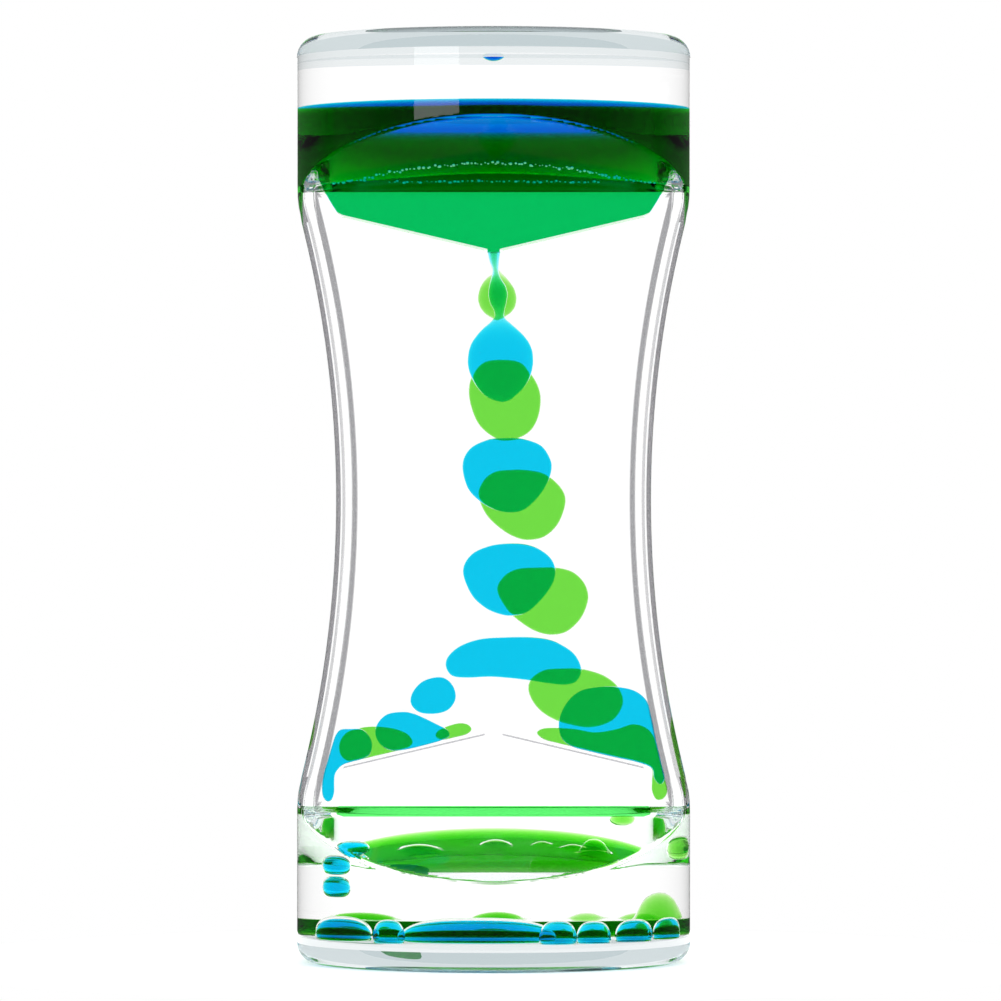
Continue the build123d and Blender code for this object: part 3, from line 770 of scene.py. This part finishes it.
def froth():
    """Fine bubbles that cling to the front shoulder from inside, in two rows, as opaque pale beads
    whose colour is a painted glint.
    """
    skin = Skin()
    draw = np.random.default_rng(FROTH_SEED)
    turns = np.linspace(0, 2 * pi, FROTH_STEPS, endpoint=False)
    tilts = np.linspace(-FROTH_TILT, FROTH_TILT, BEND_STEPS)
    for first, last, lift, sag, count in FROTH_ROWS:
        for x in np.linspace(first, last, count):
            r = draw.uniform(*FROTH_RADIUS)
            across = x + draw.uniform(-r, r)
            z = MID + SHOULDER_START + lift - sag * (x / last) ** 2 + draw.uniform(-r, r)
            y = FRONT * (half_depth(np.array([z]), WALL)[0] - FROTH_SEAT * r)
            points = np.empty((len(tilts), len(turns), 3))
            points[..., 0] = across + r * np.outer(np.cos(tilts), np.cos(turns))
            points[..., 1] = y + r * np.outer(np.cos(tilts), np.sin(turns))
            points[..., 2] = z + r * np.sin(tilts)[:, None]
            skin.tube(points)
    skin.make("froth_look", [froth_painted_glint], "casing", [], "blue_water", False)


froth()

ROUND = np.linspace(0, 2 * pi, DROP_STEPS, endpoint=False)
MOVING = {
    "blue_drop_0", "blue_drop_1", "blue_drop_2", "blue_drop_3", "blue_ramp_left_upper",
    "green_drop_0", "green_drop_1", "green_drop_2", "green_drop_3",
    "blue_sinking_drops", "green_sinking_drop",
}


def finish_drop(skin, node, materials=(blue_water, lime_water)):
    """Makes a drop's piece; it rides on its own body if it moves."""
    color = node.split("_")[0]
    body = f"{node}_body" if node in MOVING else "casing"
    material = materials[0] if color == "blue" else materials[1]
    return skin.make(f"{node}_look", [material], body, [node], f"{color}_water", False)


def hermite(t):
    """Weights of a smooth step's ends and of the slopes at them."""
    return (1 + 2 * t) * (1 - t) ** 2, t * (1 - t) ** 2, t**2 * (3 - 2 * t), t**2 * (t - 1)


def closed_curve(points, steps=8):
    """Smooth closed curve through points, counterclockwise."""
    points = np.asarray(points, float)
    ahead = np.roll(points, -1, 0)
    lean = (ahead - np.roll(points, 1, 0)) / 2
    lean_ahead = np.roll(lean, -1, 0)
    curve = []
    for t in np.linspace(0, 1, steps, endpoint=False):
        a, b, c, d = hermite(t)
        curve.append(a * points + b * lean + c * ahead + d * lean_ahead)
    curve = np.stack(curve, 1).reshape(-1, 2)
    x, z = curve.T
    area = np.sum(x * np.roll(z, -1) - np.roll(x, -1) * z)
    return curve if area > 0 else curve[::-1]


def drawn_in(curve):
    """Outline that is moved towards its inside along its own normals."""
    along = np.roll(curve, -1, 0) - np.roll(curve, 1, 0)
    along /= np.linalg.norm(along, axis=1, keepdims=True)
    inward = np.stack([-along[:, 1], along[:, 0]], -1)
    return lambda inset: curve + inset * inward


def lid(skin, start, ring, flip):
    """Closes a ring of upright points that is already in the skin."""
    count = len(ring)
    edges = [(k, (k + 1) % count) for k in range(count)]
    corners, _, faces, origins, _, _ = delaunay_2d_cdt([Vector(p) for p in ring], edges, [], 1, 1e-7)
    depth = skin.points[start][1]
    place = []
    for corner, origin in zip(corners, origins):
        if origin:
            place.append(start + origin[0])
        else:
            place.append(len(skin.points))
            skin.points.append([corner.x, depth, corner.y])
    for face in faces:
        ab = corners[face[1]] - corners[face[0]]
        ac = corners[face[2]] - corners[face[0]]
        turned = ab.x * ac.y - ab.y * ac.x < 0
        order = [place[i] for i in face]
        skin.faces.append(order[::-1] if turned != flip else order)
        skin.slots.append(0)


def pancake(skin, side, outline, r):
    """A drop pressed flat between the divider and the panel, with a rounded edge."""
    near = CHANNEL_NEAR + FILM
    far = CHANNEL_FAR - FILM
    bends = np.linspace(0, pi / 2, BEND_STEPS)
    layers = [(near, r * LID_INSET)]
    layers += [(near + r * (1 - cos(b)), r * (1 - sin(b))) for b in bends]
    layers += [(far - r * (1 - cos(b)), r * (1 - sin(b))) for b in bends[::-1]]
    layers += [(far, r * LID_INSET)]
    start = len(skin.points)
    count = len(outline(0))
    for depth, inset in layers:
        for x, z in outline(inset):
            skin.points.append([x, side * depth, z])
    flip = side == FRONT
    for i in range(len(layers) - 1):
        for j in range(count):
            k = (j + 1) % count
            a = start + i * count
            face = [a + j, a + k, a + count + k, a + count + j]
            skin.faces.append(face if flip else face[::-1])
            skin.slots.append(0)
    flat = outline(layers[0][1])
    lid(skin, start, flat, flip)
    lid(skin, start + (len(layers) - 1) * count, flat, not flip)


# Outlines of the falling drops: x as a share of the channel's half width, and height over the
# lower funnel as a share of the fall
FALLING = {
    "blue_drop_1": (
        (0.082, 0.632), (-0.043, 0.628), (-0.167, 0.609), (-0.220, 0.574), (-0.185, 0.526),
        (-0.096, 0.496), (0.011, 0.478), (0.117, 0.472), (0.215, 0.478), (0.312, 0.504),
        (0.383, 0.537), (0.412, 0.569), (0.392, 0.593), (0.330, 0.617), (0.206, 0.630),
    ),
    "blue_drop_2": (
        (0.117, 0.406), (-0.025, 0.401), (-0.158, 0.382), (-0.217, 0.346), (-0.158, 0.297),
        (-0.060, 0.268), (0.046, 0.254), (0.135, 0.251), (0.241, 0.259), (0.348, 0.289),
        (0.419, 0.321), (0.438, 0.348), (0.410, 0.372), (0.339, 0.391), (0.241, 0.403),
    ),
    "blue_drop_3": (
        (0.082, 0.205), (-0.096, 0.201), (-0.238, 0.186), (-0.323, 0.163), (-0.337, 0.141),
        (-0.291, 0.122), (-0.185, 0.118), (-0.025, 0.120), (0.117, 0.117), (0.259, 0.112),
        (0.383, 0.106), (0.508, 0.103), (0.588, 0.111), (0.621, 0.136), (0.582, 0.165),
        (0.508, 0.184), (0.401, 0.199), (0.259, 0.205),
    ),
    "green_drop_1": (
        (0.064, 0.801), (-0.069, 0.795), (-0.149, 0.768), (-0.176, 0.736), (-0.158, 0.698),
        (-0.096, 0.658), (0.028, 0.630), (0.153, 0.630), (0.259, 0.647), (0.316, 0.677),
        (0.335, 0.714), (0.316, 0.744), (0.259, 0.773), (0.188, 0.795),
    ),
    "green_drop_2": (
        (0.117, 0.564), (0.011, 0.560), (-0.069, 0.542), (-0.108, 0.510), (-0.051, 0.467),
        (0.064, 0.434), (0.170, 0.417), (0.259, 0.413), (0.366, 0.421), (0.458, 0.448),
        (0.508, 0.488), (0.499, 0.515), (0.437, 0.539), (0.348, 0.557), (0.224, 0.564),
    ),
    "green_drop_3": (
        (0.312, 0.354), (0.170, 0.351), (0.073, 0.335), (0.025, 0.305), (0.099, 0.262),
        (0.206, 0.233), (0.312, 0.215), (0.419, 0.209), (0.525, 0.217), (0.623, 0.246),
        (0.671, 0.284), (0.659, 0.311), (0.614, 0.332), (0.543, 0.347), (0.437, 0.354),
    ),
    "green_drop_4": (
        (0.490, 0.137), (0.366, 0.134), (0.277, 0.118), (0.245, 0.095), (0.273, 0.068),
        (0.339, 0.044), (0.437, 0.026), (0.543, 0.016), (0.667, 0.010), (0.783, 0.016),
        (0.872, 0.033), (0.920, 0.066), (0.880, 0.098), (0.792, 0.120), (0.685, 0.132),
        (0.588, 0.137),
    ),
}
for node, outline in FALLING.items():
    skin = Skin()
    curve = closed_curve([(x * CHANNEL_HALF, ROOF_APEX + z * FALL) for x, z in outline])
    pancake(skin, FRONT if node.startswith("blue") else BACK, drawn_in(curve), FALLING_EDGE)
    finish_drop(skin, node)


def roof(x):
    """Height of a lower funnel's upper face."""
    return ROOF_APEX - abs(x) * SLOPE_RISE


def wall_x(z):
    """Clear half width of a channel at height z."""
    return float(half_width(np.array(z), WALL)) - 2 * FILM


# Outlines of the drops on the lower funnels and in the gaps at their ends, as shares of the
# funnel's half span: x, and height over the slope
RESTING = {
    "blue_ramp_left_upper": (
        (-0.371, 0.446), (-0.460, 0.438), (-0.521, 0.385), (-0.534, 0.318), (-0.492, 0.256),
        (-0.427, 0.223), (-0.346, 0.209), (-0.282, 0.223), (-0.244, 0.279), (-0.257, 0.355),
        (-0.306, 0.420),
    ),
    "blue_ramp_left_lower": (
        (-0.589, 0.274), (-0.686, 0.281), (-0.748, 0.236), (-0.762, 0.170), (-0.727, 0.093),
        (-0.654, 0.040), (-0.557, 0.025), (-0.443, 0.025), (-0.346, 0.030), (-0.287, 0.045),
        (-0.296, 0.087), (-0.363, 0.140), (-0.460, 0.210), (-0.524, 0.250),
    ),
    "blue_gap_left": (
        (-0.985, 0.252), (-0.925, 0.243), (-0.850, 0.222), (-0.800, 0.165), (-0.782, 0.100),
        (-0.800, 0.048), (-0.850, 0.030), (-0.915, 0.028), (-0.975, 0.020), (-1.018, -0.020),
        (-1.026, -0.075), (-1.026, -0.135), (-1.040, -0.182), (-1.070, -0.190),
        (-1.098, -0.155), (-1.106, -0.090), (-1.095, -0.010), (-1.067, 0.080),
        (-1.040, 0.165), (-1.017, 0.225),
    ),
    "blue_gap_right": (
        (0.673, 0.454), (0.552, 0.397), (0.466, 0.296), (0.421, 0.175), (0.435, 0.075),
        (0.503, 0.032), (0.609, 0.026), (0.770, 0.026), (0.932, 0.028), (1.020, 0.010),
        (1.035, -0.050), (1.072, -0.080), (1.103, -0.036), (1.083, 0.055), (1.049, 0.193),
        (1.016, 0.347), (0.985, 0.440), (0.908, 0.485), (0.795, 0.483),
    ),
    "green_ramp_left_tip": (
        (-0.217, 0.109), (-0.290, 0.109), (-0.358, 0.093), (-0.374, 0.060), (-0.330, 0.028),
        (-0.249, 0.025), (-0.178, 0.027), (-0.143, 0.048), (-0.163, 0.085),
    ),
    "green_ramp_left": (
        (-0.767, 0.216), (-0.864, 0.230), (-0.950, 0.220), (-0.996, 0.165), (-0.992, 0.090),
        (-0.945, 0.036), (-0.864, 0.025), (-0.767, 0.025), (-0.686, 0.025), (-0.600, 0.026),
        (-0.540, 0.035), (-0.524, 0.066), (-0.565, 0.125), (-0.654, 0.178),
    ),
    "green_gap_right": (
        (0.900, 0.262), (0.795, 0.206), (0.657, 0.153), (0.528, 0.143), (0.398, 0.121),
        (0.318, 0.097), (0.280, 0.060), (0.325, 0.030), (0.414, 0.026), (0.576, 0.026),
        (0.770, 0.026), (0.932, 0.028), (1.020, 0.005), (1.024, -0.073), (1.024, -0.139),
        (1.052, -0.188), (1.100, -0.170), (1.124, -0.112), (1.105, -0.029), (1.068, 0.116),
        (1.040, 0.206), (0.987, 0.258),
    ),
}
for node, outline in RESTING.items():
    points = []
    for share, lift in outline:
        x = share * FUNNEL_HALF
        z = roof(x) + lift * FUNNEL_HALF
        points.append((max(min(x, wall_x(z)), -wall_x(z)), z))
    skin = Skin()
    curve = closed_curve(points)
    pancake(skin, FRONT if node.startswith("blue") else BACK, drawn_in(curve), RESTING_EDGE)
    finish_drop(skin, node)


def smooth(at, z, values):
    """Smooth curve through values given at falling heights z."""
    z = z[::-1]
    values = values[::-1]
    step = np.diff(z)
    rise = np.diff(values) / step
    lean = np.zeros(len(z))
    same = rise[:-1] * rise[1:] > 0
    total = np.where(same, rise[:-1] + rise[1:], 1)
    lean[1:-1] = np.where(same, 2 * rise[:-1] * rise[1:] / total, 0)
    lean[0] = rise[0]
    lean[-1] = rise[-1]
    k = np.clip(np.searchsorted(z, at) - 1, 0, len(step) - 1)
    h = step[k]
    a, b, c, d = hermite((at - z[k]) / h)
    return a * values[k] + b * h * lean[k] + c * values[k + 1] + d * h * lean[k + 1]


def hanging(side, node, stations):
    """A drop on its thread. Stations: z, left edge, right edge, half depth, squareness."""
    z, left, right, deep, square = np.array(stations).T
    levels = np.concatenate([np.linspace(z[k], z[k + 1], BEND_STEPS)[:-1] for k in range(len(z) - 1)])
    levels = np.append(levels, z[-1])
    left, right, deep, square = (smooth(levels, z, v)[:, None] for v in (left, right, deep, square))
    c = np.cos(ROUND)
    s = np.sin(ROUND)
    points = np.empty((len(levels), len(ROUND), 3))
    wide = (right - left) / 2
    points[..., 0] = (left + right) / 2 + wide * np.sign(c) * np.abs(c) ** (2 / square)
    points[..., 1] = side * CHANNEL_MIDDLE + deep * np.sign(s) * np.abs(s) ** (2 / square)
    points[..., 2] = levels[:, None]
    skin = Skin()
    skin.tube(points, True)
    finish_drop(skin, node)


hanging(FRONT, "blue_drop_0", (
    (102.70, -0.90, 1.00, 0.95, 2),
    (101.33, -0.58, 0.80, 0.68, 2),
    (100.06, -0.14, 0.72, 0.45, 2),
    (99.16, -0.29, 0.94, 0.62, 2),
    (97.71, -0.65, 1.78, 1.20, 2),
    (96.62, -0.76, 2.03, 1.38, 2),
    (95.35, -0.51, 1.85, 1.16, 2),
    (94.27, 0.04, 1.59, 0.80, 2),
    (93.54, 0.18, 1.52, 0.70, 2),
    (93.07, -0.07, 1.77, 0.80, 2.2),
    (92.46, -0.65, 2.46, 1.10, 2.6),
    (91.73, -1.52, 3.30, 1.40, 3.2),
    (90.65, -2.50, 4.42, 1.66, 4.0),
    (89.38, -3.30, 5.29, 1.78, 5.0),
    (88.11, -3.66, 5.69, 1.80, 6.0),
    (86.85, -3.77, 5.76, 1.80, 6.0),
    (85.76, -3.62, 5.61, 1.80, 6.0),
    (84.67, -3.22, 5.29, 1.80, 6.0),
    (83.59, -2.64, 4.71, 1.80, 5.0),
    (82.68, -1.99, 4.02, 1.78, 4.5),
    (81.96, -1.27, 3.22, 1.70, 4.0),
    (81.41, -0.33, 2.57, 1.50, 3.5),
    (81.13, 0.58, 1.88, 1.30, 3.0),
    (81.04, 1.10, 1.36, 1.15, 3.0),
))
hanging(BACK, "green_drop_0", (
    (102.70, -0.80, 0.80, 0.80, 2),
    (100.60, -0.35, 0.65, 0.45, 2),
    (99.80, -0.15, 1.20, 0.60, 2),
    (99.16, -0.94, 1.85, 1.10, 2.4),
    (98.43, -1.59, 2.46, 1.50, 3.0),
    (97.35, -2.10, 3.11, 1.74, 4.0),
    (96.08, -2.32, 3.37, 1.80, 4.0),
    (94.99, -2.06, 3.19, 1.76, 4.0),
    (94.09, -1.48, 2.61, 1.60, 3.5),
    (93.54, -0.80, 1.88, 1.40, 3.0),
    (93.18, -0.07, 1.12, 1.15, 3.0),
    (93.07, 0.29, 0.72, 1.00, 3.0),
))


def bun(skin, x, y, lift, width, depth, height, foot=0.9, belly=0.2):
    """A drop with sizes as shares of the bowl's radius, widest at the height share belly."""
    low = np.linspace(0, pi / 2, BEND_STEPS)
    high = np.linspace(0, pi / 2 - BUN_CROWN, CROWN_STEPS)[1:]
    crown = np.cos(high) ** BUN_POWER
    share = np.concatenate([[foot - BUN_TUCK], foot + (1 - foot) * np.sin(low), crown])
    level = np.concatenate([[0], belly * (1 - np.cos(low)), belly + (1 - belly) * np.sin(high)])
    points = np.empty((len(share), len(ROUND), 3))
    points[..., 0] = x * BOWL + width * BOWL / 2 * share[:, None] * np.cos(ROUND)
    points[..., 1] = y * BOWL + depth * BOWL / 2 * share[:, None] * np.sin(ROUND)
    points[..., 2] = FLOOR + POOL_FILM + lift + height * BOWL * level[:, None]
    skin.tube(points)


BEADS = (blue_bead, lime_bead)

# Drops on the floor: x, distance from the divider, width, depth, height
BLUE_FLOOR = (
    (-0.721, 0.366, 0.357, 0.357, 0.130),
    (-0.530, 0.725, 0.179, 0.179, 0.130),
    (-0.077, 0.592, 0.737, 0.344, 0.137),
    (0.326, 0.813, 0.198, 0.198, 0.130),
    (0.505, 0.725, 0.190, 0.190, 0.122),
    (0.695, 0.519, 0.230, 0.230, 0.122),
    (0.835, 0.263, 0.215, 0.215, 0.118),
)
LIME_HUMPS = (
    (-0.412, 0.344, 0.314, 0.400, 0.134),
    (0.011, 0.470, 0.229, 0.340, 0.137),
    (0.270, 0.500, 0.150, 0.150, 0.122),
    (0.440, 0.420, 0.180, 0.180, 0.122),
    (0.557, 0.267, 0.180, 0.180, 0.235),
)
floor_drops = Skin()
for x, y, width, depth, height in BLUE_FLOOR:
    bun(floor_drops, x, FRONT * y, 0, width, depth, height)
finish_drop(floor_drops, "blue_floor_drops", BEADS)


def spill():
    """Lime water that has run together over the floor behind the divider, with humps in it."""
    front = CHANNEL_NEAR + 2 * FILM

    def field(x, y, z):
        return round_max(np.hypot(x, y) - SPILL_REACH, front - y, SPILL_CORNER) + 0 * z

    edge, _ = cast(field, [0.0], TURNS[:-1], SPILL_REACH, SPILL_REACH / 2, SPILL_MIDDLE)
    outer = 1 - SPILL_BORDER * np.cos(np.linspace(*SPILL_OUTER))
    shares = np.concatenate([np.linspace(*SPILL_INNER), outer])[:, None]
    points = np.empty((len(shares), len(TURNS) - 1, 3))
    points[..., 0] = shares * edge[0, :, 0]
    points[..., 1] = SPILL_MIDDLE + shares * (edge[0, :, 1] - SPILL_MIDDLE)
    inside = np.clip(-field(points[..., 0], points[..., 1], 0) / SPILL_SOFT, 0, 1)
    rise = SPILL_HEIGHT * np.sqrt(1 - (1 - inside) ** 2)
    for x, y, width, depth, height in LIME_HUMPS:
        across = (points[..., 0] - x * BOWL) / (width * BOWL / 2)
        along = (points[..., 1] - y * BOWL) / (depth * BOWL / 2)
        hump = height * BOWL * np.clip(1 - across**2 - along**2, 0, 1) ** HUMP_POWER
        rise = np.maximum(rise, hump)
    points[..., 2] = FLOOR + POOL_FILM + rise
    skin = Skin()
    skin.tube(points[::-1])
    finish_drop(skin, "green_floor_drops")


spill()

# Sinking drops: x, y, lift over the floor in millimetres, width, depth, height
SINKING = {
    "blue_sinking_drops": (
        (-0.771, -0.420, 9.40, 0.190, 0.190, 0.107),
        (-0.771, -0.420, 6.20, 0.190, 0.190, 0.114),
    ),
    "green_sinking_drop": (
        (0.714, 0.160, 10.92, 0.150, 0.150, 0.130),
    ),
}
for node, drops in SINKING.items():
    skin = Skin()
    for drop in drops:
        bun(skin, *drop, SINKING_FOOT, SINKING_BELLY)
    finish_drop(skin, node, BEADS)

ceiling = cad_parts["blue_ceiling_drop"]
ceiling.data.materials.clear()
ceiling.data.materials.append(last_blue)


def room():
    """White backdrops on four sides and a lit ceiling, dim between them, and less for mirrored rays."""
    world = bpy.data.worlds.new("room")
    bpy.context.scene.world = world
    world.use_nodes = True
    tree = world.node_tree
    tree.nodes.clear()
    place = add_node(tree, "ShaderNodeTexCoord")
    split = add_node(tree, "ShaderNodeSeparateXYZ")
    tree.links.new(place.outputs["Generated"], split.inputs[0])
    x, y, z = split.outputs
    path = add_node(tree, "ShaderNodeLightPath")

    def ramp(value, start, end):
        node = tree.nodes.new("ShaderNodeMapRange")
        node.inputs["From Min"].default_value = start
        node.inputs["From Max"].default_value = end
        tree.links.new(value, node.inputs["Value"])
        return node.outputs["Result"]

    def calc(operation, *values):
        node = tree.nodes.new("ShaderNodeMath")
        node.operation = operation
        for socket, value in zip(node.inputs, values):
            if isinstance(value, float):
                socket.default_value = value
            else:
                tree.links.new(value, socket)
        return node.outputs[0]

    def times(*values):
        product = values[0]
        for value in values[1:]:
            product = calc("MULTIPLY", product, value)
        return product

    def light(strength):
        return add_node(tree, "ShaderNodeBackground", Color=(1, 1, 1, 1), Strength=strength)

    def choose(ray, other, chosen):
        mix = add_node(tree, "ShaderNodeMixShader")
        tree.links.new(path.outputs[ray], mix.inputs[0])
        tree.links.new(other.outputs[0], mix.inputs[1])
        tree.links.new(chosen.outputs[0], mix.inputs[2])
        return mix

    # Backdrops and ceiling
    level = ramp(calc("ABSOLUTE", z), *LEVEL)
    backdrop = ramp(calc("ABSOLUTE", y), *BACKDROP)
    sides = ramp(calc("ABSOLUTE", x), *SIDES)
    white = times(calc("MAXIMUM", backdrop, sides), level)
    white = calc("MAXIMUM", white, ramp(z, *CEILING_LIGHT))
    strength = calc("MULTIPLY_ADD", white, BACKDROP_LIGHT - DIM_LIGHT, DIM_LIGHT)

    # Mirrored rays
    flat = times(ramp(z, *FLAT_Z), ramp(calc("ABSOLUTE", x), *FLAT_X), FLAT_SPARED)
    raised = times(ramp(z, *RAISED_Z), RAISED_SPARED)
    spared = times(ramp(y, *GLANCING_Y), calc("MAXIMUM", flat, raised))
    passed = path.outputs["Is Transmission Ray"]
    mirrored = times(path.outputs["Is Glossy Ray"], calc("SUBTRACT", 1.0, passed), MIRROR_LOSS)
    lost = times(mirrored, calc("SUBTRACT", 1.0, spared))
    strength = times(strength, calc("SUBTRACT", 1.0, lost))

    # A bright window behind the camera
    window = calc("LESS_THAN", y, WINDOW_BEHIND)
    for value, (low, high) in ((x, WINDOW_X), (z, WINDOW_Z)):
        window = times(window, calc("GREATER_THAN", value, low), calc("LESS_THAN", value, high))
    strength = calc("MULTIPLY_ADD", window, WINDOW_LIGHT, strength)

    around = add_node(tree, "ShaderNodeBackground", Color=(1, 1, 1, 1))
    tree.links.new(strength, around.inputs["Strength"])
    indirect = choose("Is Diffuse Ray", around, light(DIFFUSE_LIGHT))
    every = choose("Is Camera Ray", indirect, light(SEEN_LIGHT))
    out = add_node(tree, "ShaderNodeOutputWorld")
    tree.links.new(every.outputs[0], out.inputs["Surface"])


def floor():
    """White ground under the object."""
    mesh = bpy.data.meshes.new("ground")
    turns = np.linspace(0, 2 * pi, GROUND_STEPS, endpoint=False)
    corners = [(GROUND_RADIUS * cos(turn), GROUND_RADIUS * sin(turn), 0) for turn in turns]
    mesh.from_pydata(corners, [], [tuple(range(len(corners)))])
    mesh.materials.append(plain("ground_white", GROUND_COLOR, GROUND_ROUGHNESS))
    ground = bpy.data.objects.new("ground", mesh)
    bpy.context.scene.collection.objects.link(ground)


def lamp():
    """Soft light from above."""
    light = bpy.data.lights.new("overhead", "SUN")
    light.energy = SUN_STRENGTH
    light.angle = radians(SUN_SPREAD)
    lamp_object = bpy.data.objects.new("overhead", light)
    lamp_object.rotation_euler = [radians(tilt) for tilt in SUN_TILT]
    bpy.context.scene.collection.objects.link(lamp_object)


def camera():
    """The camera, level and at mid height, from the photo's outline."""
    data = bpy.data.cameras.new("camera")
    data.sensor_width = SENSOR
    data.lens = LENS
    data.clip_start, data.clip_end = CLIP
    eye = bpy.data.objects.new("camera", data)
    eye.location = EYE
    eye.rotation_euler = (radians(90), 0, 0)
    bpy.context.scene.collection.objects.link(eye)
    bpy.context.scene.camera = eye


room()
floor()
lamp()
camera()
scene = bpy.context.scene
scene.view_settings.view_transform = "Standard"
scene.cycles.max_bounces = LIGHT_BOUNCES
scene.cycles.transmission_bounces = LIGHT_BOUNCES
scene.cycles.glossy_bounces = MIRROR_BOUNCES
scene.cycles.transparent_max_bounces = LIGHT_BOUNCES
scene.cycles.caustics_refractive = True
scene.cycles.caustics_reflective = True
